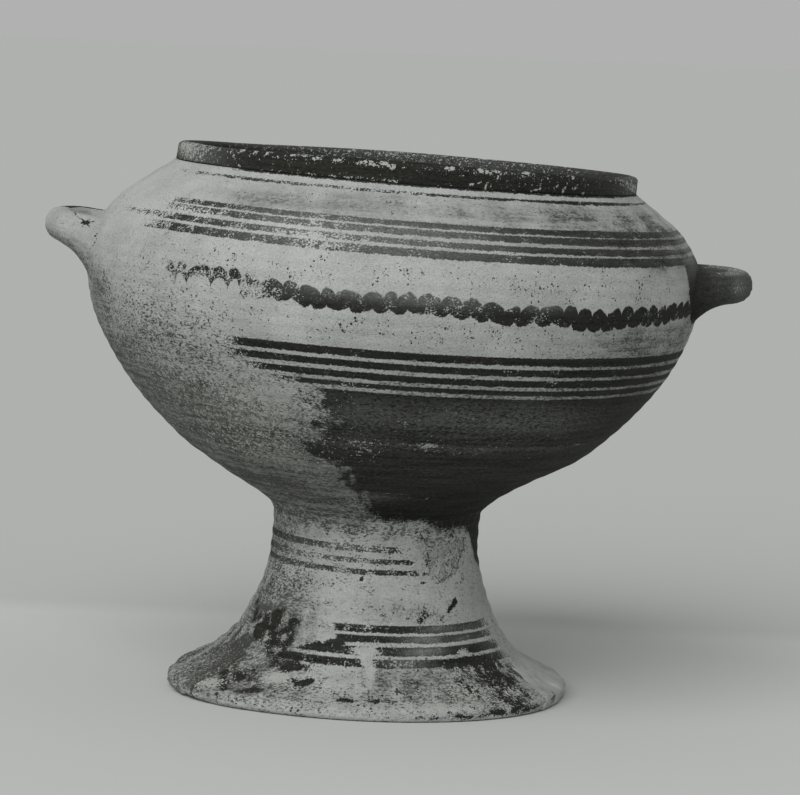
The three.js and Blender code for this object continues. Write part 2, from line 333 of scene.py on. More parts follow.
def grit(tree, pot, size, density):
    # dark grains, one to a cell of size mm, each wider the more density is above its cell's own number
    cells = add(tree, "TexVoronoi", {"Vector": pot, "Scale": 1.0 / size}, out="Distance")
    number = add(tree, "SeparateColor", [cells.node.outputs["Color"]], out=0)
    width = add(tree, "Math", [density, number], operation="SUBTRACT")
    width = add(tree, "Math", [width, 0.8], operation="MULTIPLY")
    return softStep(tree, width, cells, 0.06)


# The clay and its paint: sizes in mm, and how softly each pattern is cut, where a grain runs from 0 to 1
clay = {
    "fine": 0.9, "dashes": 0.95, "chips": 2.6, "coarse": 6.0, "mottle": 34.0, "brushed": 2.2, "patches": 8.0,
    "grits": (1.15, 2.0), "shakeSize": 1.1, "shake": (2.4, 2.4, 2.4), "waver": 0.25, "fringe": 0.4,
    "bandSoft": 0.3, "ruggedLimit": 0.47, "ruggedSoft": 0.28, "rubbedSoft": 0.22, "keptSoft": 0.17,
    "flakeSoft": 0.08, "bareRoughness": 0.88, "paintRoughness": 0.74, "specular": 0.12, "bump": 0.2,
}


def paintedClay(name, bandSets=(), wave=None, drag=0.05):
    # Fired clay under a matt pale slip, with bands of near-black slip paint. The slip is a soft mottled
    # grey; the paint a thin smoother skin with brush streaks, lost grain by grain where it is rubbed. Each
    # band set is (low, high, bands), where low and high are the heights that its ramp covers.
    # The wash and rubbed grey also paint shade, solid paint does too, and thin paint and pale flakes paint
    # highlights, where a piece's fields put them.
    material, tree, shader = newMaterial(name)
    wearAndPaintedLight = {key: add(tree, "Attribute", out="Fac", attribute_name=key) for key in (
        "wander", "waveLevel", "waveBody", "waveSwell", "bandSpread", "solidPaintAndShade", "paintLoss", "thinPaintAndGlints",
        "rubbedAndShaded", "washAndShade", "pitting", "flakedAndGlints")}
    pot = add(tree, "Attribute", out="Vector", attribute_name="straightPot")
    height = add(tree, "SeparateXYZ", [pot], out=2)

    along = min(1.0, 9.0 * drag)
    fine = grain(tree, pot, clay["fine"], 1.0, (0.8, 0.8, 1.0))          # grit that shows as single grains
    dashes = grain(tree, pot, clay["dashes"], 1.0, (along, along, 1.0))  # grains drawn out by the wheel
    chips = grain(tree, pot, clay["chips"])                              # flakes a few grains wide
    coarse = grain(tree, pot, clay["coarse"], 4.0)                       # clumps of worn grains
    mottle = grain(tree, pot, clay["mottle"])                            # slow changes of the slip
    brushed = grain(tree, pot, clay["brushed"], 3.0, (drag, drag, 1.0))  # strokes laid on the wheel
    speckled = add(tree, "Mix", {0: 0.45, 2: fine, 3: coarse}, data_type="FLOAT")
    flaky = add(tree, "Mix", {0: 0.5, 2: fine, 3: chips}, data_type="FLOAT")
    streaky = add(tree, "Mix", {0: 0.5, 2: brushed, 3: dashes}, data_type="FLOAT")
    drawn = add(tree, "Mix", {0: 0.5, 2: speckled, 3: dashes}, data_type="FLOAT")
    rugged = add(tree, "Mix", {0: 0.34, 2: drawn, 3: brushed}, data_type="FLOAT")
    rugged = softStep(tree, rugged, clay["ruggedLimit"], clay["ruggedSoft"])
    shade = add(tree, "Mix", {0: 0.55, 2: mottle, 3: fine}, data_type="FLOAT")

    # the ground is pale slip, grey clay where it is rubbed off, and thin paint dragged over it in places; the
    # grey and the wash are also painted shade where a piece's fields put shade
    slip, bare, skin = [
        add(tree, "Mix", {0: share, 6: linear(tones[one]), 7: linear(tones[other])}, out=2, data_type="RGBA")
        for share, one, other in ((shade, "slip", "slipShade"), (rugged, "clayDark", "clay"),
                                  (streaky, "paint", "paintWorn"))]
    rubbedAndShaded = softStep(tree, wearAndPaintedLight["rubbedAndShaded"], drawn, clay["rubbedSoft"])
    washedAndShaded = add(tree, "MapRange", {"Value": rugged, "To Min": 1.5, "To Max": 0.5})
    washedAndShaded = add(tree, "Math", [washedAndShaded, wearAndPaintedLight["washAndShade"]], operation="MULTIPLY", use_clamp=True)

    # the painted shapes, kept where the grain stands above the loss, and see-through in grains where thin; in
    # places the solid paint is painted shade and the see-through grains painted highlight
    waver, fringe = [add(tree, "MapRange", {"Value": value, "To Min": -clay[key], "To Max": clay[key]})
                     for key, value in (("waver", coarse), ("fringe", speckled))]
    level = add(tree, "Math", [height, wearAndPaintedLight["wander"]], operation="ADD")
    level = add(tree, "Math", [level, waver], operation="ADD")
    fringe = add(tree, "Math", [fringe, wearAndPaintedLight["bandSpread"]], operation="ADD")
    shapes = []
    for bandSet in bandSets:
        depth = add(tree, "Math", [bandDepth(tree, level, *bandSet), fringe], operation="ADD")
        shapes.append(softStep(tree, depth, 0.0, clay["bandSoft"]))
    if wave:
        over = add(tree, "Math", [height, wearAndPaintedLight["waveLevel"]], operation="SUBTRACT")
        over = add(tree, "Math", [over, wearAndPaintedLight["waveSwell"]], operation="DIVIDE")
        shapes.append(waveStroke(tree, pot, over, wearAndPaintedLight["waveBody"], coarse, speckled, wave))
    kept = softStep(tree, speckled, wearAndPaintedLight["paintLoss"], clay["keptSoft"])
    ragged = add(tree, "Math", [speckled, 0.8, wearAndPaintedLight["solidPaintAndShade"]], operation="MULTIPLY_ADD")
    paint = softStep(tree, ragged, 0.9, clay["keptSoft"])
    for shape in shapes:
        shape = add(tree, "Math", [shape, kept], operation="MULTIPLY")
        paint = add(tree, "Math", [paint, shape], operation="MAXIMUM")
    holesAndGlints = add(tree, "MapRange", {"Value": speckled, "To Min": 0.95, "To Max": 0.4})
    holesAndGlints = add(tree, "Math", [holesAndGlints, wearAndPaintedLight["thinPaintAndGlints"]], operation="MULTIPLY")
    cover = add(tree, "Math", [1.0, holesAndGlints], operation="SUBTRACT", use_clamp=True)
    paint = add(tree, "Math", [paint, cover], operation="MULTIPLY")

    # dark grit of two sizes in patches, and pale flakes where the surface has come away, which are painted
    # highlight on the right handle
    shaken = add(tree, "TexNoise", {"Vector": pot, "Scale": clay["shakeSize"], "Detail": 2.0}, out="Color")
    shaken = add(tree, "VectorMath", [shaken, clay["shake"], pot], operation="MULTIPLY_ADD")
    patchy = grain(tree, pot, clay["patches"], 2.0)
    patchy = add(tree, "MapRange", {"Value": patchy, "To Min": 0.3, "To Max": 1.0})
    patchy = add(tree, "Math", [patchy, wearAndPaintedLight["pitting"]], operation="MULTIPLY")
    pits = [grit(tree, shaken, size, patchy) for size in clay["grits"]]
    pit = add(tree, "Math", pits, operation="MAXIMUM")
    flakeAndGlint = softStep(tree, wearAndPaintedLight["flakedAndGlints"], flaky, clay["flakeSoft"])

    colour, relief = slip, fine
    for share, over in ((rubbedAndShaded, bare), (washedAndShaded, linear(tones["washAndShade"])), (paint, skin),
                        (pit, linear(tones["speck"])), (flakeAndGlint, linear(tones["chipAndGlint"]))):
        colour = add(tree, "Mix", {0: share, 6: colour, 7: over}, out=2, data_type="RGBA")
    for rise, share in ((coarse, 0.5), (streaky, 0.5), (pit, -1.2), (flakeAndGlint, -0.8)):
        relief = add(tree, "Math", [rise, share, relief], operation="MULTIPLY_ADD")
    roughness = add(tree, "MapRange", {"Value": paint, "To Min": clay["bareRoughness"],
                                       "To Max": clay["paintRoughness"]})
    bump = add(tree, "Bump", {"Strength": 0.6, "Distance": clay["bump"] * mm, "Height": relief})
    feed(tree, shader, {"Base Color": colour, "Roughness": roughness, "IOR": 1.5,
                        "Specular IOR Level": clay["specular"], "Normal": bump})
    return material


# The bowl: deep and closed, thrown in one piece with its rounded underside
bowl = {
    "outer": [[66.8, 113], [75.2, 119.8], [86.8, 126.8], [101.4, 135.4], [122, 148], [148.5, 173],
              [167.5, 198], [179.5, 223], [184, 248], [181, 268], [169, 286], [154.5, 297.6], [143, 305.6],
              [138.3, 309.4]],
    "seatInner": 50.6, "undersideDrop": 9.0, "poleShare": 0.08, "floorThickness": 14.0, "floorRing": 8.0,
    "gap": 0.3, "wallLow": 12.0, "wallHigh": 8.0, "thinAt": 170.0, "innerFrom": 0.06,
    "around": 384, "underRows": 10, "outerRows": 170, "innerRows": 60,
    "ridge": 0.14, "ridgeSpacing": 7.0, "lump": 0.4, "grit": 0.07,
    "reliefFrom": (113.0, 121.0), "reliefUntil": (304.0, 309.0),
    "bellyBands": [(90.0, 194.8), (197.0, 199.9), (202.2, 206.1), (208.5, 212.6), (214.8, 219.5)],
    "shoulderBands": [(272.0, 276.3), (277.9, 281.1), (283.1, 286.6), (287.6, 290.6), (304.4, 305.7),
                      (308.6, 330.0)],
    "wave": {"degrees": 360.0 / 99.0, "over": (2.1, 4.3), "under": (2.8, 2.8), "round": 0.5,
             "wander": 0.9, "wanderSize": 24.0, "vary": 0.25, "ragged": 0.5, "soft": 0.35},
}
lip = {
    "foot": 309.7, "top": 320.8, "outerFoot": 138.2, "outerTop": 137.9, "wall": 8.4, "crown": 2.8,
    "around": 720, "wallRows": 10, "topRows": 14, "footRows": 6,
    "nick": 0.5, "nickFrom": (314.0, 318.0), "waver": 0.25,
    "dips": [(-135.0, 320.8, 30.0, 8.0, 2.0), (-48.0, 320.8, 26.0, 8.0, 1.3), (-95.0, 320.8, 25.0, 8.0, 0.7),
             (3.0, 320.8, 16.0, 8.0, -0.4)],
}


def offsetInward(points, thickness):
    # every point moved square to the curve by its own thickness, to the left of the way the curve runs
    steps = headings(points)
    return points + np.stack([-steps[:, 1], steps[:, 0]], -1) * thickness[:, None]


def bowlProfile():
    # the underside, a dish of drop * (1 - share^2) from the axis to the seat; the outer curve; and the inner
    # curve, which is the outer one moved in by a wall that thins upwards, down to a flat floor
    seat = bowl["outer"][0][1]
    share = np.linspace(bowl["poleShare"], 1.0, bowl["underRows"])
    under = np.stack([share * bowl["seatInner"], seat - bowl["undersideDrop"] * (1.0 - share ** 2)], -1)
    dense = smoothThrough(bowl["outer"], 400)
    outside = evenly(dense, bowl["outerRows"])
    dense = dense[round(bowl["innerFrom"] * len(dense)):]
    wall = bowl["wallLow"] + (bowl["wallHigh"] - bowl["wallLow"]) * ramp01(dense[:, 1], seat, bowl["thinAt"])
    inside = offsetInward(dense, wall)[::-1]
    inside[0] = [lip["outerFoot"] - lip["wall"], bowl["outer"][-1][1]]
    floor = seat - bowl["undersideDrop"] + bowl["floorThickness"]
    inside = evenly(np.vstack([inside, [bowl["floorRing"], floor]]), bowl["innerRows"])
    side = np.r_[np.zeros(len(under)), np.ones(len(outside)), np.zeros(len(inside))]
    return np.vstack([under, outside, inside]), side[:, None], floor


def ridges(piece, angle, height):
    # throwing ridges, which wind round the wall as cos(2 pi h / spacing + angle)
    return piece["ridge"] * np.cos(fullTurn * height / piece["ridgeSpacing"] + np.radians(angle))


def bowlRelief(angle, height):
    # ridges over slow lumps from the hands and a little grit, and smooth where the pieces join
    lumps = bowl["lump"] * unevenness(angle, height, 3, 22, 220.0, 30.0)
    small = bowl["grit"] * unevenness(angle, height, 5, 30, 22.0, 5.0)
    joint = ramp01(height, *bowl["reliefFrom"]) * (1.0 - ramp01(height, *bowl["reliefUntil"]))
    return (ridges(bowl, angle, height) + lumps + small) * joint


def inZones(loss, h, zones):
    # from the floor up, each (values, low, high) takes over from the one before between its two heights
    for values, low, high in zones:
        loss = loss + (values - loss) * ramp01(h, low, high)
    return loss


def bowlPaintLoss(a, h, side):
    # 0 keeps all the paint and 1 loses it: the left front is worn, the right front kept, the back a guess
    ragged = unevenness(a, h, 31, 30, 24.0, 3.0)
    shoulder = np.interp(a, [-180, -120, -90, -62, -54, -46, -40, -24, -17, -10, 0, 25, 90, 180],
                         [.3, .42, .9, .8, .45, .28, .32, .2, .36, .3, .16, .1, .1, .3])
    shoulder = shoulder + spots(a, h, [
        (-19, 280, 8, 1.8, .25), (-45, 286, 9, 1.8, .25), (-14, 275, 4, 2.5, .25), (-60, 291, 10, 3, .4),
        (-61, 286, 8, 2.5, .5), (-61, 277, 8, 3, .5), (-61, 282.5, 5, 2, -.4)])
    wave = np.interp(a, [-180, -120, -75, -58, -50, -45, -43.5, -30, -27, -24, -21, -8, 3, 8, 13, 20, 28, 34,
                         50, 54, 60, 90, 180],
                     [.3, .4, 1.2, .8, 1.1, 1.2, .4, .36, .45, .6, .26, .12, .2, .3, .22, .1, .16, .08,
                      .08, .24, .1, .05, .3])
    start = np.interp(h, [197, 204, 210, 217], [-18, -25, -29, -29.5])
    belly = 0.06 + 1.1 * ramp01(start - a, -7.0, 9.0)
    belly = np.where(a < -100, np.interp(a, [-180, -130, -100], [.25, .4, 1.16]), belly)
    belly = belly + np.interp(a, [110, 180], [0.0, 0.19])
    edge = np.interp(h, [113, 120, 125, 130, 140, 150, 156, 162, 166, 172, 180, 190, 196],
                     [-1, -2, -3.5, -6.5, -8, -12, -20, -18, -14, -12.5, -12.5, -13.5, -14])
    lower = 1.1 - 1.05 * ramp01(a - edge - 2.0 * ragged, -5.0, 4.5)
    lower = np.where(a < -120, np.interp(a, [-180, -120], [.2, 1.2]), lower)
    lower = lower + np.interp(a, [110, 180], [0.0, 0.15])
    thinLine = np.interp(a, [-180, -90, -60, -52, -46, -38, -30, -20, 0, 12, 25, 60, 75, 90, 180],
                         [.4, .9, .8, .55, .4, .3, .35, .5, .48, .3, .1, .15, .4, .3, .4])
    top = np.interp(a, [-180, -110, -95, -50, -38, 180], [.1, .3, 1.2, 1.1, .1, .1])
    loss = inZones(np.where(h < 196.0, lower, belly), h, [
        (wave, 226.0, 232.0), (shoulder, 263.0, 268.0), (thinLine, 296.0, 302.0), (top, 307.4, 308.4)])
    return np.where(side > 0.5, loss + 0.07 * ragged, 2.0)


def bowlRubbedAndShaded(a, h, side):
    # how far the pale slip is rubbed off to grey clay, and stained; on the right side and under the left
    # handle this grey is painted shade
    levels = [105, 120, 135, 150, 165, 180, 200, 215, 228, 250, 275, 320]
    near = np.interp(h, levels, [.85, .8, .85, .9, .75, .52, .42, .22, .08, .04, .05, .1])
    far = np.interp(h, levels, [.95, .95, .97, .97, .93, .84, .64, .5, .34, .2, .12, .1])
    right = np.interp(h, levels, [.6, .6, .6, .6, .6, .6, .5, .42, .3, .16, .12, .14])
    field = near + (far - near) * ramp01(-a, 16.0, 44.0) + spots(a, h, [(-72, 236, 10, 14, .12)])
    field = field + (right - field) * ramp01(a, 25.0, 70.0)
    field = field + ((right + far) / 2.0 - field) * ramp01(np.abs(a), 120.0, 175.0)
    return np.where(side > 0.5, field + 0.06 * unevenness(a, h, 37, 24, 60.0, 8.0), 0.75)


def bowlFields(a, h, side):
    # what the clay's patterns read, mostly soft spots of (front angle, height, half width in degrees, half
    # height in mm, amount); side is 1 on the outside and 0 elsewhere
    # a dark wash of thin paint dragged on; its spots on the right side are partly painted shade, and the one
    # at -70 degrees under the left handle is painted shade
    washAndShade = [
        (40, 297.5, 32, 7, .62), (66, 285, 14, 14, .45), (-30, 295, 14, 4, .4), (-10, 298, 20, 6, .3),
        (-50, 268, 3, 9, .25), (30, 283, 24, 9, .3), (60, 279, 18, 14, .4), (62, 229, 20, 11, .62),
        (72, 250, 6, 14, .3), (44, 230, 8, 6, .3), (58, 205, 18, 18, .8), (28, 196, 26, 4, .3),
        (-70, 235, 10, 14, .4), (-75, 200, 16, 30, .5), (-45, 155, 12, 7, .6), (-40, 131, 26, 6, .6),
        (-60, 145, 24, 34, .45), (-25, 118, 18, 8, .3), (-60, 185, 16, 20, .3), (-38, 168, 15, 18, .5),
        (-28, 155, 8, 8, .3), (-16, 158, 5, 6, .5)]
    pitting = [
        (35, 258, 14, 8, .5), (38, 268, 4, 3, .5), (23, 258, 3, 6, .5), (4, 230, 14, 5, .4),
        (-13, 227, 5, 3, .6), (-22, 233, 5, 3, .4), (-53, 253, 4, 4, .7), (-30, 262, 30, 10, .3),
        (0, 232, 70, 12, .42), (30, 230, 24, 6, .4), (50, 262, 18, 12, .42), (8, 262, 60, 10, .4),
        (-44, 235, 18, 14, .45), (-40, 205, 16, 14, .5), (-22, 187, 14, 20, .8), (-33, 150, 30, 34, .3),
        (0, 281, 70, 8, .3), (30, 300, 40, 8, .3), (-20, 298, 40, 8, .3), (18, 200, 40, 16, .2)]
    flakedAndGlints = [
        (-24, 186, 12, 18, .42), (-45, 200, 16, 16, .34), (-55, 170, 30, 24, .3), (-30, 150, 22, 20, .3),
        (-8, 121, 8, 6, .35), (-6.5, 198, 2.2, 3, .5), (11.2, 164, 2, 3, .5), (20, 160, 6, 1.2, .3),
        (4, 177, 1.4, 3, .42), (33, 205, 1.8, 4, .36), (15, 164, 26, 1.2, .22), (6, 129, 7, 1, .34),
        (-4, 160, 5, 5, .26), (30, 175, 40, 22, .1), (55, 163, 1.2, .9, .6), (22.5, 126, 1, .8, .6)]
    thin = [
        (26, 180, 26, 12, .42), (-12, 282, 22, 14, .5), (12, 282, 12, 12, .2), (48, 282, 26, 12, .12),
        (20, 145, 50, 22, .14), (-8, 253, 12, 5, .35), (8, 251, 12, 5, .35), (28, 249, 5, 3, .3),
        (20, 162, 40, 2.4, .3), (2, 126, 9, 3.5, .5), (-20, 300, 40, 12, .1), (-5, 178, 8, 16, .2),
        (76, 281, 12, 14, .75)]
    rootEdge = np.interp(h, [236, 249, 255, 262, 271], [75.0, 71.5, 70.0, 69.5, 68.5])
    rootFoot = np.interp(a, [66, 70, 78, 84], [241.0, 240.0, 236.0, 233.0])
    root = ramp01(a - rootEdge, -0.6, 0.6) * (1.0 - ramp01(a, 118.0, 121.0))
    root = root * ramp01(h - rootFoot, -1.5, 1.5)
    shoulderShift = np.interp(a, [-180, -70, -60, -48, -35, -20, -5, 10, 25, 40, 52, 75, 180],
                              [-1.0, -3.0, -3.0, -2.7, -2.1, -1.3, -.8, -.3, 0.0, .3, .5, .6, -1.0])
    bellyShift = np.interp(a, [-180, -30, -20, -8, 5, 20, 35, 50, 180],
                           [-0.4, -1.1, -1.0, -0.7, -0.2, 0.0, 0.3, 0.4, -0.4])
    shoulderPart = ramp01(h, 262.0, 268.0) * (1.0 - ramp01(h, 283.0, 301.0))
    waveLevel = np.interp(
        a, [-180, -90, -27.5, -25, -20, -17, -14, -9.5, -5, -1, 3, 8, 13, 18, 22, 25.5, 29, 33, 36, 42, 46.5,
            50, 53.5, 57.5, 60, 65, 90, 180],
        [247, 248.6, 248.6, 249, 249, 248.6, 246, 246.5, 245.8, 246.6, 247.3, 246.3, 246, 243.9, 242.6,
         243.9, 243.7, 243.4, 241.2, 240.8, 243, 242.2, 243.4, 243, 243.7, 244.8, 245.5, 247])
    uneven = 1.0 + 0.35 * unevenness(a, h, 39, 30, 30.0, 4.0)
    return {
        "wander": np.where(h > 240.0, shoulderShift * shoulderPart, bellyShift),
        "waveLevel": waveLevel,
        "waveBody": np.interp(a, [-180, -150, -27.5, -26], [14.0, 3.9, 3.9, 14.0]),
        "waveSwell": np.interp(a, [-180, -110, -27.5, -25, 28, 36, 44, 60, 68, 90, 180],
                               [.9, 1.6, 1.6, 1.0, 1.0, 1.15, 1.1, 1.0, .85, .8, .9]),
        "bandSpread": np.interp(a, [0, 30, 40, 56, 70, 90, 130], [0.0, 0.05, 0.35, 0.3, -0.2, -0.4, 0.0]),
        "solidPaintAndShade": np.where(side > 0.5, root * (1.0 - ramp01(h, 271.0, 273.0)), ramp01(h, 286.0, 288.0)),
        "paintLoss": bowlPaintLoss(a, h, side),
        "thinPaintAndGlints": np.clip(spots(a, h, thin), 0.0, 0.95),
        "rubbedAndShaded": bowlRubbedAndShaded(a, h, side),
        "washAndShade": np.clip(spots(a, h, washAndShade) * uneven, 0.0, 0.9) * side,
        "pitting": np.minimum(spots(a, h, pitting), 0.5) * side + 0.12,
        "flakedAndGlints": spots(a, h, flakedAndGlints) * side - 0.02,
    }


profile, side, floorHeight = bowlProfile()
rows, angle, height = spun(profile, bowl["around"], bowlRelief)
bowlPoles = [[0.0, 0.0, profile[0, 1]], [0.0, 0.0, floorHeight]]
bowlWall = roundMesh("bowlWall", rows, bowlFields(angle, height, side), bowlPoles)
bowlClay = paintedClay("slippedClayWithPaintedBands", [(188.0, 226.0, bowl["bellyBands"]),
                                                       (268.0, 312.0, bowl["shoulderBands"])], bowl["wave"])
finishPiece(bowlWall, bowlClay, "bowl")
print("bowl made")


# The lip: a short upright ring with a rounded top, painted all over and chipped along its edge
def lipProfile():
    # the top is half an ellipse: out along the wall's half thickness, up by the crown
    half = lip["wall"] / 2.0
    turn = np.linspace(0.0, np.pi, lip["topRows"])
    arc = np.stack([lip["outerTop"] + half * (np.cos(turn) - 1.0),
                    lip["top"] + lip["crown"] * (np.sin(turn) - 1.0)], -1)
    foot = np.linspace([lip["outerFoot"] - lip["wall"], lip["foot"]], [lip["outerFoot"], lip["foot"]],
                       lip["footRows"])
    wall = np.linspace(foot[-1], arc[0], lip["wallRows"])[1:-1]
    inner = np.linspace(arc[-1], foot[0], lip["wallRows"])[1:-1]
    return np.vstack([foot, wall, arc, inner])


def lipRelief(angle, height):
    # a slow waver of the whole ring, and small nicks along its top edge
    waver = lip["waver"] * unevenness(angle, 0.0, 13, 12, 400.0, 90.0)
    nicks = np.clip(unevenness(angle, height, 17, 40, 26.0, 3.0) - 0.9, 0.0, None)
    return waver - lip["nick"] * nicks * ramp01(height, *lip["nickFrom"])


def lipFields(a, h):
    # chips are short strokes of (front angle, height, front angle, height, half width in mm, amount)
    chips = [
        (-45, 320, -44, 320.4, 1.3, .44), (-40, 320.2, -39, 320, 1, .4), (-36, 319.8, -35, 320, 1.2, .44),
        (-29, 319.8, -24, 320.2, .8, .4), (-23, 319.2, -21, 319.4, 1.2, .44),
        (-17.5, 319, -15.5, 319.4, 1.1, .44), (-11.5, 318.8, -9.8, 319, 1.1, .44),
        (-9, 318, -8, 318.3, 1.1, .46), (-6, 319, -4.8, 319, 1.1, .44), (-4, 317.2, -3, 317.6, 1.2, .46),
        (9, 319.2, 10.6, 319, 1.2, .46), (17, 319.4, 18.6, 319.6, 1.3, .46), (20, 320, 22, 320, 1, .42),
        (28, 320, 30, 320, 1.1, .42), (42, 319.6, 43.6, 319.4, 1.2, .42), (15, 311.8, 15.6, 312, 1.1, .5),
        (18.7, 310.4, 19.2, 313.6, .8, .5), (20.5, 311, 21, 311, .9, .45), (31, 310.6, 33.5, 312.2, .6, .5),
        (38, 314, 38.6, 314, .9, .42), (40.5, 310.4, 41.5, 315.6, .7, .48),
        (44, 313.2, 44.5, 313.5, .9, .45), (47, 310.4, 47.5, 310.8, .9, .45), (63, 320, 80, 314, 1, .34),
        (64, 317, 80, 311, .9, .32), (-48, 320.5, -43, 309.8, .5, .44), (-36, 310.7, -2, 310.7, .8, .3)]
    edge = spots(a, h, [(-70, 317, 17, 7, .5), (180, 319, 60, 6, .26), (78, 316, 10, 8, .34),
                        (0, 318.6, 60, 1.6, .14), (30, 315, 26, 5, .1)])
    return {"solidPaintAndShade": 1.0, "flakedAndGlints": strokes(a, h, lip["outerTop"], chips) + edge + 0.08, "pitting": 0.1,
            "thinPaintAndGlints": spots(a, h, [(-66, 315, 14, 7, .4), (180, 316, 70, 10, .2), (72, 315, 14, 8, .2)])}


rows, angle, height = spun(lipProfile(), lip["around"], lipRelief)
upper = ramp01(height, lip["foot"], lip["top"] - lip["crown"])
rows[..., 2] -= spots(angle, lip["top"], lip["dips"]) * upper
lipRing = roundMesh("lipRing", rows, lipFields(angle, height), closedRows=True)
finishPiece(lipRing, paintedClay("darkSlipPaintOnLip"), "lip")
print("lip made")


# The pedestal: a hollow flared stem on a thick flange, worn and stained, with painted shade under the bowl,
# and a ragged lower edge
pedestal = {
    "outer": [[118.4, .8], [119.6, 3.4], [117.8, 7.8], [106.6, 12.8], [89.8, 22.8], [81.2, 33], [74.4, 45.3],
              [67.6, 61.5], [62.9, 80], [61.8, 98], [63.2, 108.5], [66.6, 113]],
    "inner": [[50, 113], [50.5, 96], [53, 78], [59, 58], [68, 38], [80, 21], [93, 9], [102, 2]],
    "restingRing": [104, 116.5], "markRadius": 100.0,
    "around": 420, "outerRows": 150, "innerRows": 44, "restRows": 5, "topRows": 5,
    "lump": 0.5, "ridge": 0.2, "ridgeSpacing": 9.0, "edgeWear": 0.7, "edgeUntil": (12.0, 20.0),
    "reliefUntil": (105.0, 113.0),
    "bands": [(25.8, 30.1), (32.0, 36.8), (38.8, 42.8), (44.4, 48.5), (76.9, 80.0), (83.3, 86.2),
              (90.0, 93.8)],
}
# The three plaster fills: front angles and heights of their outlines, how proud they stand, and how lumpy
repairs = {
    "repair_foot_right": {"from": 61, "to": 140, "bottom": 0.0, "top": 30.0, "proud": 0.35, "lump": 0.2,
                          "slant": 0.6, "soiled": -0.14, "stains": [(64, 6, 5, 5, .3)]},
    "repair_foot_left": {"from": -122, "to": -54, "bottom": 0.0, "top": 33.0, "proud": 0.5, "lump": 0.9,
                         "slant": 0.0, "soiled": 0.44,
                         "stains": [(-58, 22, 16, 14, .5), (-70, 30, 12, 10, .2)]},
    "repair_stem": {"from": 28, "to": 57, "bottom": 73.0, "top": 100.0, "proud": 0.25, "lump": 0.6,
                    "slant": 0.0, "soiled": 0.3, "stains": []},
}


def pedestalProfile():
    # the outer curve, the seat under the bowl, the inner curve and the resting ring, closed on itself
    outside = evenly(smoothThrough(pedestal["outer"], 400), pedestal["outerRows"])
    inside = evenly(smoothThrough(pedestal["inner"], 200), pedestal["innerRows"])
    top = np.linspace(outside[-1], inside[0], pedestal["topRows"])[1:-1]
    restInner, restOuter = pedestal["restingRing"]
    rest = np.linspace([restInner, 0.0], [restOuter, 0.0], pedestal["restRows"])
    side = np.r_[np.ones(len(outside)), np.zeros(len(top) + len(inside) + len(rest))]
    return np.vstack([outside, top, inside, rest]), side[:, None]


def pedestalRelief(angle, height):
    # ridges and lumps that stop at the resting ring and under the bowl, and a foot edge that is worn away
    lumps = pedestal["lump"] * unevenness(angle, height, 51, 24, 120.0, 16.0)
    wear = np.clip(unevenness(angle, height, 53, 34, 40.0, 4.0), 0.0, None)
    edge = ramp01(height, 0.6, 2.0) * (1.0 - ramp01(height, *pedestal["edgeUntil"]))
    free = ramp01(height, 0.6, 3.0) * (1.0 - ramp01(height, *pedestal["reliefUntil"]))
    return (ridges(pedestal, angle, height) + lumps) * free - pedestal["edgeWear"] * wear * edge


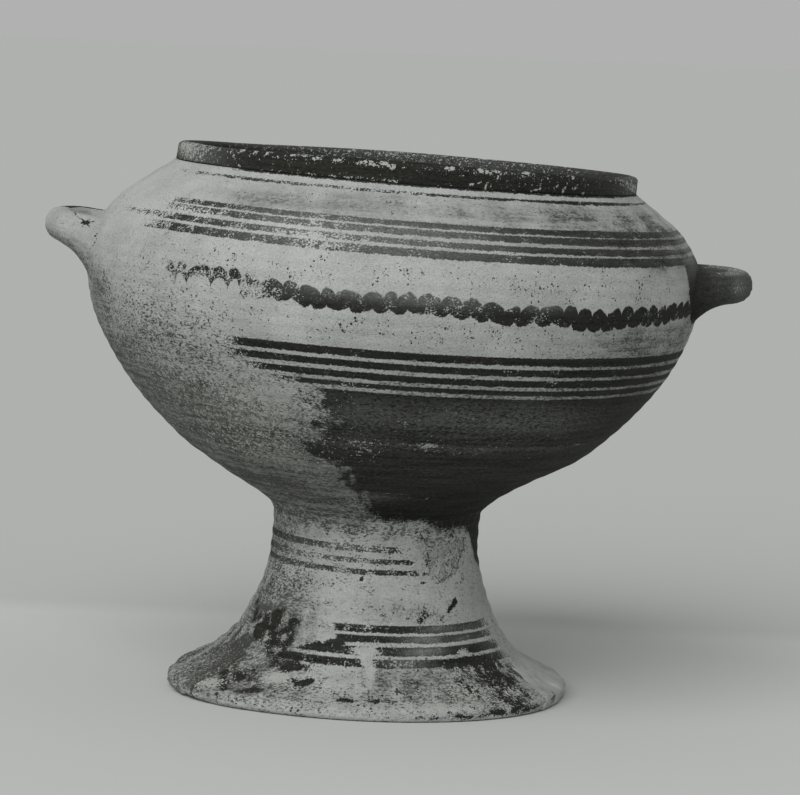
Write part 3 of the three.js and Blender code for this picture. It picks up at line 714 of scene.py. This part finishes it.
def pedestalFields(a, h, side):
    # as bowlFields, and marks are strokes like the lip's chips
    neckEnd = np.interp(h, [78, 85, 92], [25.0, 21.0, 13.0])
    neck = np.interp(a, [-90, -62, -50, -28, -15, 0, 10], [.3, .36, .4, .38, .46, .4, .34])
    neck = neck + 0.9 * ramp01(a - neckEnd, -2.0, 5.0) + spots(a, h, [(-45, 85, 12, 2.5, .25),
                                                                      (-45, 92, 14, 2.5, -.25)])
    start = np.interp(h, [28, 34, 40, 46], [-38.0, -30.0, -14.0, -16.0])
    lower = 0.1 + 1.1 * ramp01(start - a, -2.0, 4.0) + 0.8 * ramp01(a, 58.0, 80.0)
    lower = lower + spots(a, h, [(-1.5, 34.4, 6, 2.6, 1.2), (-1, 46.5, 3, 3, .55), (-.5, 28, 3.5, 3, 1.0),
                                 (43, 33, 3, 1.5, .8), (-9, 46.5, 5, 3, .2), (14, 28, 10, 2.5, .3)])
    lower = np.where(a < -100, 0.3, lower)
    loss = lower + (neck - lower) * ramp01(h, 56.0, 66.0)
    loss = loss + (0.3 - loss) * ramp01(a, 118.0, 142.0)
    # the stem's top under the bowl and its right side lower down are dark: partly dark paint, partly painted
    # shade under the bowl's overhang and on the side away from the light
    stemTopDarkening = np.interp(a, [-90, -44, -30, -8, 4, 20, 27, 30, 36, 56, 64, 70, 76, 82, 100, 150],
                     [109, 108, 106, 105.5, 109, 109, 109.5, 108, 103.5, 104, 101, 93, 83, 78, 77, 109])
    stemTopDarkening = ramp01(h - stemTopDarkening, -5.0, 4.0)
    stemTopDarkPaint = stemTopDarkening * np.interp(a, [-180, -40, -2, 6, 95, 105, 180], [.3, .3, .35, .8, .8, .4, .3])
    solid = [
        (-47, 40, 13, 11, .8), (-47, 47, 11, 4, .3), (-58, 38, 7, 8, .4), (-40, 33, 6, 5, .3),
        (-42, 27, 5, 4, .3), (-54, 18, 9, 5, .4), (-40, 15, 8, 6, .42), (55, 22, 11, 8, 1),
        (40, 28, 10, 3, .5), (33, 16, 14, 10, .36), (48, 12, 10, 6, .5), (46, 4, 16, 3, .55),
        (20, 3, 16, 1.8, .4), (25, 53, 9, 4, .42), (10, 54, 10, 4, .22), (28, 56, 4, 3, .3),
        (29.5, 84, 1.8, 3.4, .85), (28.3, 78, 1.8, 1.2, .7), (31, 77.5, 1.4, 1, .6), (27, 73, 2.5, 1, .5),
        (33, 70, 2, 1, .4), (54.5, 71.5, 2.4, 1.1, .5), (-6, 74, 1.2, 1.3, .9), (180, 15, 60, 20, .4),
        (48, 79, 5, 2, .45)]
    marks = [
        (-78, 54, -66, 44, 3.0, .45), (-66, 44, -58, 37, 4.0, .45), (-28, 33, -10, 37.5, 2.6, .66),
        (-22, 36, -12, 38.5, 1.8, .45), (-38, 24.5, -28, 24, 3.4, .6), (-34, 21, -22, 23.5, 2.6, .5),
        (-58, 17, -46, 11, 1.1, .5), (-52, 18, -44, 14, 1.2, .45), (-36, 11, -31, 10.5, 1.1, .5),
        (-45, 9.5, -33, 9, 1.4, .45), (-27, 16.5, -19.5, 17.2, 1.6, .8), (-24, 15, -21, 15.5, 1.2, .6),
        (-15.7, 18.7, -13.3, 19.7, 1.1, .8), (-10, 10.8, 9, 11.2, .9, .55), (-25, 9, -12, 9, 2.0, .3),
        (35, 51.5, 41, 56, 1.1, .5), (41, 57, 47.5, 61.5, 2.0, .85), (25, 27.5, 60, 27.5, 2.4, .4)]
    # the wash spots near 106 mm, just under the bowl, are partly painted shade
    washAndShade = [
        (-46, 42, 20, 16, .9), (-68, 48, 10, 8, .5), (-45, 60, 16, 9, .3), (-52, 24, 12, 14, .6),
        (14, 57, 14, 6, .25), (-62, 96, 30, 20, .3), (9, 98.5, 5, 3.5, .55), (33, 97, 6, 6, .4),
        (-48, 18, 18, 10, .5), (-56, 14, 10, 9, .7), (16, 20, 16, 8, .3), (-60, 20, 10, 8, .4),
        (-72, 40, 14, 24, .3), (24, 18, 24, 10, .3), (66, 20, 5, 8, .5), (66, 6, 8, 5, .55),
        (-45, 106, 24, 5, .6), (-75, 88, 14, 20, .4), (75, 62, 12, 40, .1), (5.5, 20.5, 2.6, 5.5, .6),
        (28, 54, 14, 5, .25), (-66, 52, 12, 12, .35), (-20, 10, 20, 4, .3)]
    pitting = [
        (22, 55, 20, 6, .7), (-30, 66, 40, 14, .35), (-30, 8, 40, 6, .8), (28, 14, 26, 12, .6),
        (-5, 88, 40, 14, .45), (-30, 102, 10, 6, .6), (-55, 60, 18, 16, .5), (45, 90, 14, 14, .4),
        (-8, 20, 60, 12, .4)]
    # the rubbed spot at 104 mm, just under the bowl, is partly painted shade
    rubbedAndShaded = .2 + spots(a, h, [(-75, 60, 30, 60, .35), (-45, 14, 24, 12, .35), (34, 16, 24, 12, .4),
                               (0, 104, 50, 6, .35), (-40, 58, 16, 14, .2), (50, 92, 16, 12, .3)])
    flakedAndGlints = [
        (-50, 18, 10, 9, .3), (-31, 16.5, 5, 3, .9), (-36, 3.5, 4, 3, .6), (-52, 10, 7, 2.5, .55),
        (34, 14, 16, 9, .46), (52, 12, 5, 2, .5), (53, 20, 8, 8, .12), (20, 8, 14, 2.4, .5),
        (1.2, 24, 1.4, 6, .9), (-10, 22, 12, 6, .4), (0, 40, 60, 20, .1), (20, 54, 16, 5, .3),
        (-48, 30, 10, 10, .2)]
    thin = [
        (-60, 86, 30, 12, .4), (-10, 88, 20, 10, .3), (24, 34.4, 10, 2.6, .6), (25, 41, 10, 2.6, .55),
        (33, 46.5, 9, 2.5, .4), (46, 40, 8, 3, .3), (16, 28, 9, 3, .5), (50, 46, 10, 3, .2),
        (70, 40, 12, 12, .4)]
    uneven = 1.0 + 0.45 * unevenness(a, h, 67, 34, 22.0, 3.0)
    solid = (spots(a, h, solid) + strokes(a, h, pedestal["markRadius"], marks)) * uneven + stemTopDarkPaint
    return {
        "solidPaintAndShade": solid * side,
        "thinPaintAndGlints": np.clip(spots(a, h, thin), 0.0, 0.95),
        "paintLoss": np.where(side > 0.5, loss + 0.06 * unevenness(a, h, 57, 24, 30.0, 4.0), 2.0),
        "rubbedAndShaded": np.where(side > 0.5, rubbedAndShaded + 0.08 * unevenness(a, h, 61, 24, 50.0, 6.0), 0.8),
        "washAndShade": np.clip((spots(a, h, washAndShade) + 0.7 * stemTopDarkening) * uneven, 0.0, 0.9) * side,
        "pitting": np.minimum(spots(a, h, pitting), 0.6) * side + 0.15,
        "flakedAndGlints": spots(a, h, flakedAndGlints) * side,
    }


profile, side = pedestalProfile()
rows, angle, height = spun(profile, pedestal["around"], pedestalRelief)
pedestalWall = roundMesh("pedestalWall", rows, pedestalFields(angle, height, side), closedRows=True)
pedestalClay = paintedClay("wornSlipOnPedestal", [(21.0, 98.0, pedestal["bands"])])
finishPiece(pedestalWall, pedestalClay, "pedestal")
print("pedestal made")


def plaster(name):
    # Old repair plaster toned to the clay: fine, chalky, matt and clouded, with dark grains where soiled
    material, tree, shader = newMaterial(name)
    pot = add(tree, "Attribute", out="Vector", attribute_name="straightPot")
    soiled = add(tree, "Attribute", out="Fac", attribute_name="soiled")
    fine = grain(tree, pot, 1.2)
    coarse = grain(tree, pot, 9.0, 4.0)
    shade = add(tree, "Math", [coarse, 0.7, soiled], operation="MULTIPLY_ADD", use_clamp=True)
    specks = softStep(tree, soiled, fine, 0.3)
    colour = linear(tones["plaster"])
    for share, tone in ((shade, "plasterShade"), (specks, "clayDark")):
        colour = add(tree, "Mix", {0: share, 6: colour, 7: linear(tones[tone])}, out=2, data_type="RGBA")
    relief = add(tree, "Math", [coarse, 1.5, fine], operation="MULTIPLY_ADD")
    bump = add(tree, "Bump", {"Strength": 0.6, "Distance": 0.25 * mm, "Height": relief})
    feed(tree, shader, {"Base Color": colour, "Roughness": 0.92, "Specular IOR Level": 0.25, "Normal": bump})
    return material


# How a fill is cut, in mm: its grid reaches past its outline and dips there under the clay
fill = {"margin": 6.0, "rowStep": 0.8, "degrees": 0.6, "ragged": 3.0, "dip": 1.6, "depth": 3.0,
        "offFloor": 0.05, "slantFrom": 8.0}


def repairPatch(node, shape, seed):
    # a shell over the pedestal's outer profile: its front stands proud inside a ragged outline and dips
    # under the clay outside it; its back is the same grid a depth further in, and four strips close the two
    margin = fill["margin"]
    part = smoothThrough(pedestal["outer"], 1200)
    part = part[(part[:, 1] > shape["bottom"] - 1.0) & (part[:, 1] < shape["top"] + margin)]
    length = np.linalg.norm(np.diff(part, axis=0), axis=1).sum()
    part = evenly(part, int(length / fill["rowStep"]))
    steps = headings(part)
    spread = np.degrees(margin / part[:, 0].mean())
    around = int((shape["to"] - shape["from"] + 2 * spread) / fill["degrees"])
    angle = np.linspace(shape["from"] - spread, shape["to"] + spread, around)[None, :]
    height = np.repeat(part[:, 1:], around, axis=1)
    ragged = fill["ragged"] * unevenness(angle, height, seed, 30, 40.0, 4.0)
    start = shape["from"] + shape["slant"] * (height - fill["slantFrom"])
    across = np.minimum(angle - start, shape["to"] - angle) * np.radians(1.0) * part[:, :1]
    upward = shape["top"] - height
    if shape["bottom"] > 1.0:
        upward = np.minimum(upward, height - shape["bottom"])
    within = np.minimum(across, upward) + ragged
    lumps = shape["lump"] * unevenness(angle, height, seed + 1, 26, 40.0, 5.0)
    push = (pedestalRelief(angle, height) + (shape["proud"] + lumps) * ramp01(within, -1.0, 2.5)
            - fill["dip"] * (1.0 - ramp01(within, -3.0, 0.5)))

    def shell(depth):
        level = np.maximum(part[:, 1:] - (push - depth) * steps[:, :1], fill["offFloor"])
        return onPot(part[:, :1] + (push - depth) * steps[:, 1:], angle, level).reshape(-1, 3)

    base = np.arange(height.size).reshape(height.shape)
    deep = base + height.size
    quads = [np.stack([base[:-1, :-1], base[:-1, 1:], base[1:, 1:], base[1:, :-1]], -1),
             np.stack([deep[:-1, :-1], deep[1:, :-1], deep[1:, 1:], deep[:-1, 1:]], -1),
             np.stack([base[0, :-1], deep[0, :-1], deep[0, 1:], base[0, 1:]], -1),
             np.stack([base[-1, :-1], base[-1, 1:], deep[-1, 1:], deep[-1, :-1]], -1),
             np.stack([base[:-1, 0], base[1:, 0], deep[1:, 0], deep[:-1, 0]], -1),
             np.stack([base[:-1, -1], deep[:-1, -1], deep[1:, -1], base[1:, -1]], -1)]
    faces = np.vstack([q.reshape(-1, 4) for q in quads]).tolist()
    verts = np.vstack([shell(0.0), shell(fill["depth"])])
    soiled = shape["soiled"] + 0.15 * unevenness(angle, height, seed + 2, 26, 50.0, 5.0)
    soiled = soiled + 0.3 * (1.0 - ramp01(within, 0.0, 3.0)) + spots(angle, height, shape["stains"])
    name = node.replace("repair", "plasterFill")
    return addMesh(name, verts, faces, {"soiled": np.tile(soiled.ravel(), 2)})


plasterFinish = plaster("agedRepairPlaster")
for seed, (node, shape) in enumerate(repairs.items()):
    finishPiece(repairPatch(node, shape, 71 + 5 * seed), plasterFinish, node)
print("repairs made")


# The luting coil: a fillet of soft clay pressed into the corner under the bowl, inside the stem
coil = {"height": 13.0, "width": 10.0, "hollow": 0.45, "steps": 14, "around": 240,
        "thumbs": 26, "press": 0.5}


def coilProfile():
    # a hollow face, a quadratic curve from the bowl's underside to the stem's bore, and its two walls
    gap = bowl["gap"]
    bore, corner = pedestal["inner"][0][0] - gap, bowl["outer"][0][1] - gap
    radii = np.array([bore, bore - coil["width"]])
    under = corner - bowl["undersideDrop"] * (1.0 - (radii / bowl["seatInner"]) ** 2)
    start, end = np.array([bore, corner - coil["height"]]), np.array([radii[1], under[1]])
    middle = start + (end - start) * np.array([coil["hollow"], 1.0 - coil["hollow"]])
    t = np.linspace(0.0, 1.0, coil["steps"])[:, None]
    face = (1 - t) ** 2 * end + 2 * t * (1 - t) * middle + t ** 2 * start
    back = np.linspace(start, [bore, under[0]], 5)[1:]
    top = np.linspace(back[-1], end, 5)[1:-1]
    return np.vstack([face, back, top])


def coilRelief(angle, height):
    # a thumb print every 360 / thumbs degrees, on the face only
    prints = coil["press"] * np.cos(coil["thumbs"] * np.radians(angle))
    face = np.r_[np.sin(np.linspace(0.0, np.pi, coil["steps"])), np.zeros(len(height) - coil["steps"])]
    return prints * face[:, None]


rows, angle, height = spun(coilProfile(), coil["around"], coilRelief)
coilRing = roundMesh("lutingCoilRing", rows, {"rubbedAndShaded": 0.9, "paintLoss": 2.0}, closedRows=True)
finishPiece(coilRing, paintedClay("bareFiredClay"), "luting_coil")
print("luting coil made")


# The handles: rolls of clay bent into flat loops, flared at the roots and pressed onto the wall
handles = {
    "handle_left": {"side": -1, "rootHeight": 263.8, "tipHeight": 267.6, "reach": 202.6, "vertical": 9.4,
                    "flare": 1.55, "flareLength": 0.27, "piece": "loopHandleLeft",
                    "clay": "paleSlipOnHandle", "slot": "slipped_clay"},
    "handle_right": {"side": 1, "rootHeight": 256.0, "tipHeight": 257.4, "reach": 206.0, "vertical": 9.8,
                     "flare": 1.15, "flareLength": 0.25, "piece": "loopHandleRight",
                     "clay": "darkSlipPaintOnHandle", "slot": "dark_slip_paint",
                     "paintedGlint": (203.8, 257.5), "paintedGlintSize": 5.0},
}
roll = {
    "halfSpan": 37.0, "radial": 9.0, "sideShare": 0.5, "flarePower": 2.4, "fillet": 0.04, "filletReach": 2.5,
    "bury": 3.0, "insideWall": 14.0, "rows": 200, "around": 108, "pathRows": 800,
    "lump": 0.16, "grit": 0.03, "lumpLength": 110.0,
}


def handleClearance(path):
    # how far each point of the path lies outside the bowl's wall at its own height
    return np.hypot(path[:, 0], path[:, 1]) - np.interp(path[:, 2], *np.array(bowl["outer"])[:, ::-1].T)


def handleGrid(shape, seed):
    # a section (radial cos v, vertical sin v) carried along the loop; towards its roots it grows by flare
    # * (1 - share / flareLength) ^ flarePower, mostly downwards, with a small fillet where it meets the wall
    widest = max(radius for radius, _ in bowl["outer"])
    start = widest - roll["insideWall"]
    tip, root = shape["tipHeight"], shape["rootHeight"]
    # half of the loop's outline: distance from the axis, and share of its half span
    half = np.array([[start, 1.0], [widest - 1.0, 0.98], [widest + 9.0, 0.86], [shape["reach"] - 4.0, 0.52]])
    along = np.r_[half[:, 0], shape["reach"], half[::-1, 0]]
    across = np.r_[-half[:, 1], 0.0, half[::-1, 1]] * roll["halfSpan"]
    rise = root + (tip - root) * (along - start) / (shape["reach"] - start)
    count = roll["pathRows"]
    path = evenly(smoothThrough(np.stack([along, across, rise], -1), count), count)
    free = np.flatnonzero(handleClearance(path) > -roll["bury"])
    u = np.linspace(free[0] / (count - 1.0), free[-1] / (count - 1.0), roll["rows"])
    path = evenly(path[free], roll["rows"])
    ahead = headings(path)
    outward = np.stack([ahead[:, 1], -ahead[:, 0], np.zeros(len(ahead))], -1)
    outward /= np.linalg.norm(outward, axis=1, keepdims=True)
    upward = np.cross(outward, ahead)
    fromRoot = np.minimum(u, 1.0 - u)
    swell = 1.0 - np.clip(fromRoot / shape["flareLength"], 0.0, 1.0)
    swell = shape["flare"] * swell ** roll["flarePower"]
    fillet = roll["fillet"] * np.exp(-np.clip(handleClearance(path), 0.0, None) / roll["filletReach"])
    path[:, 2] -= shape["vertical"] * swell
    v = np.linspace(0.0, fullTurn, roll["around"], endpoint=False)
    lumps = sum(roll[key] * unevenness(np.degrees(v)[None, :], u[:, None] * roll["lumpLength"], *how)
                for key, how in (("lump", (seed, 20, 60.0, 10.0)), ("grit", (seed + 1, 30, 12.0, 3.0))))
    radial = (roll["radial"] * (1.0 + swell * roll["sideShare"] + fillet)[:, None] + lumps) * np.cos(v)
    vertical = (shape["vertical"] * (1.0 + swell + fillet)[:, None] + lumps) * np.sin(v)
    grid = path[:, None] + outward[:, None] * radial[..., None] + upward[:, None] * vertical[..., None]
    grid[..., :2] *= shape["side"]
    ends = np.stack([path[0], path[-1]])
    ends[:, :2] *= shape["side"]
    return grid, ends, u[:, None], v[None, :]


def handleFields(node, shape, grid, u, v):
    # u runs along the loop from its front root to its back one, and v round the roll
    top = np.sin(v)
    across, height = grid[..., 0], grid[..., 2]
    if node == "handle_left":
        # the top of the far limb, seen over the near one, is painted dark: painted shade of the gap between
        # the limbs
        limit = np.interp(u, [0.0, 0.15, 0.3, 0.46], [0.96, 0.94, 0.92, 0.86])
        solid = ramp01(0.49 - u, 0.0, 0.03) * ramp01(top, limit, limit + 0.05)
        cracks = [(-193.5, 277, -187, 272.4, .6, .6), (-185.2, 271.2, -182.4, 270.6, .8, .7),
                  (-189, 270.2, -179, 271.8, .5, .6), (-186.5, 273, -181, 268.8, .5, .6),
                  (-185.5, 268.6, -182, 273, .5, .55), (-171.1, 275, -172.7, 268.9, .5, .6),
                  (-172.7, 268.9, -177, 264, .5, .6), (-177, 264, -175.2, 261.9, .5, .5),
                  (-175.2, 261.9, -181, 253.6, .6, .6)]
        oneToOne = np.degrees(1.0)       # the radius on which a degree is 1 mm long, as the cracks are in mm
        solid = solid + strokes(across, height, oneToOne, cracks) * ramp01(u, 0.5, 0.53)
        # the grey and wash that darken the underside of the roll are painted shade
        return {"solidPaintAndShade": solid, "rubbedAndShaded": 0.12 + 0.2 * ramp01(-top, 0.1, 0.9),
                "washAndShade": 0.12 + 0.6 * ramp01(-top, -0.1, 0.8), "pitting": 0.2}
    # paler at the tip's outer bend, along the top of the roll and in a small ring on the front of the tip:
    # painted highlight, with some worn paint along the top
    tip = np.exp(-((u - 0.5) / 0.1) ** 2)
    fromRoot = np.minimum(u, 1.0 - u)
    wearAndPaintedLight = ramp01(top, 0.72, 0.95) * ramp01(fromRoot, 0.1, 0.2)
    apart = np.hypot(across - shape["paintedGlint"][0], height - shape["paintedGlint"][1])
    paintedGlint = np.exp(-(apart / shape["paintedGlintSize"]) ** 2) * (grid[..., 1] < 0.0)
    return {"solidPaintAndShade": 1.2, "rubbedAndShaded": 0.3, "pitting": 0.2,
            "thinPaintAndGlints": (0.2 + 0.2 * tip + 0.3 * wearAndPaintedLight + 0.3 * paintedGlint) * ramp01(fromRoot, 0.04, 0.3),
            "flakedAndGlints": 0.3 * wearAndPaintedLight + 0.22 * paintedGlint + 0.12 * tip}


for seed, (node, shape) in enumerate(handles.items()):
    grid, ends, u, v = handleGrid(shape, 91 + 3 * seed)
    loop = roundMesh(shape["piece"], grid, handleFields(node, shape, grid, u, v), ends)
    finishPiece(loop, paintedClay(shape["clay"], drag=0.5), node)
print("handles made")


# The stage: a plain pale floor, a little darker behind the pot, and plain soft light
stage = {
    "floorHalf": 60.0, "fold": 0.234, "foldSoft": 0.03,
    "sunFrom": (-0.42, -0.92, 0.86), "sunStrength": 2.2, "sunAngle": 55.0,
    "ambient": 0.45, "behind": 0.44,
}


def makeFloor():
    # a wide sheet of paper, a little darker beyond the fold behind the pot
    half = stage["floorHalf"]
    mesh = bpy.data.meshes.new("floor")
    corners = [(-half, -half, 0), (half, -half, 0), (half, half, 0), (-half, half, 0)]
    mesh.from_pydata(corners, [], [(0, 1, 2, 3)])
    floor = place("floor", mesh)
    material, tree, shader = newMaterial("palePaper")
    depth = add(tree, "SeparateXYZ", [add(tree, "TexCoord", out="Object")], out=1)
    beyond = softStep(tree, depth, stage["fold"], stage["foldSoft"])
    colour = add(tree, "Mix", {0: beyond, 6: linear(tones["floor"]), 7: linear(tones["floorFar"])},
                 out=2, data_type="RGBA")
    feed(tree, shader, {"Base Color": colour, "Roughness": 0.95, "Specular IOR Level": 0.1})
    mesh.materials.append(material)


def makeLight():
    # one soft sun from the left front, and a world that has one strength as a light and one where it is seen
    sun = bpy.data.lights.new("window", "SUN")
    sun.energy = stage["sunStrength"]
    sun.angle = np.radians(stage["sunAngle"])
    away = -np.array(stage["sunFrom"])
    place("window", sun).rotation_euler = (np.arccos(-away[2] / np.linalg.norm(away)), 0.0,
                                           np.arctan2(-away[0], away[1]))
    world = bpy.data.worlds.new("studio")
    bpy.context.scene.world = world
    world.use_nodes = True
    tree = world.node_tree
    path = [add(tree, "LightPath", out=f"Is {kind} Ray") for kind in ("Camera", "Glossy", "Transmission")]
    seen = add(tree, "Math", [path[0], path[1]], operation="MAXIMUM")
    seen = add(tree, "Math", [seen, path[2]], operation="MAXIMUM")
    ambient, behind = [add(tree, "Background", {"Color": (1, 1, 1, 1), "Strength": stage[key]})
                       for key in ("ambient", "behind")]
    feed(tree, tree.nodes["World Output"], {"Surface": add(tree, "MixShader", [seen, ambient, behind])})


makeFloor()
makeLight()

# The camera: a long lens a little above the rim, looking slightly down, its frame turned a touch
view = {"place": (0.0044, -2.0953, 0.3964), "downward": 0.1049, "roll": 0.0434,
        "lens": 157.1, "sensor": 36.0}
lens = bpy.data.cameras.new("photograph")
lens.lens = view["lens"]
lens.sensor_width = view["sensor"]
lens.clip_end = 200.0
camera = place("photograph", lens)
tilt = Matrix.Rotation(np.pi / 2 - view["downward"], 4, "X") @ Matrix.Rotation(view["roll"], 4, "Z")
camera.matrix_world = Matrix.Translation(view["place"]) @ tilt
bpy.context.scene.camera = camera
bpy.context.scene.view_settings.view_transform = "Standard"
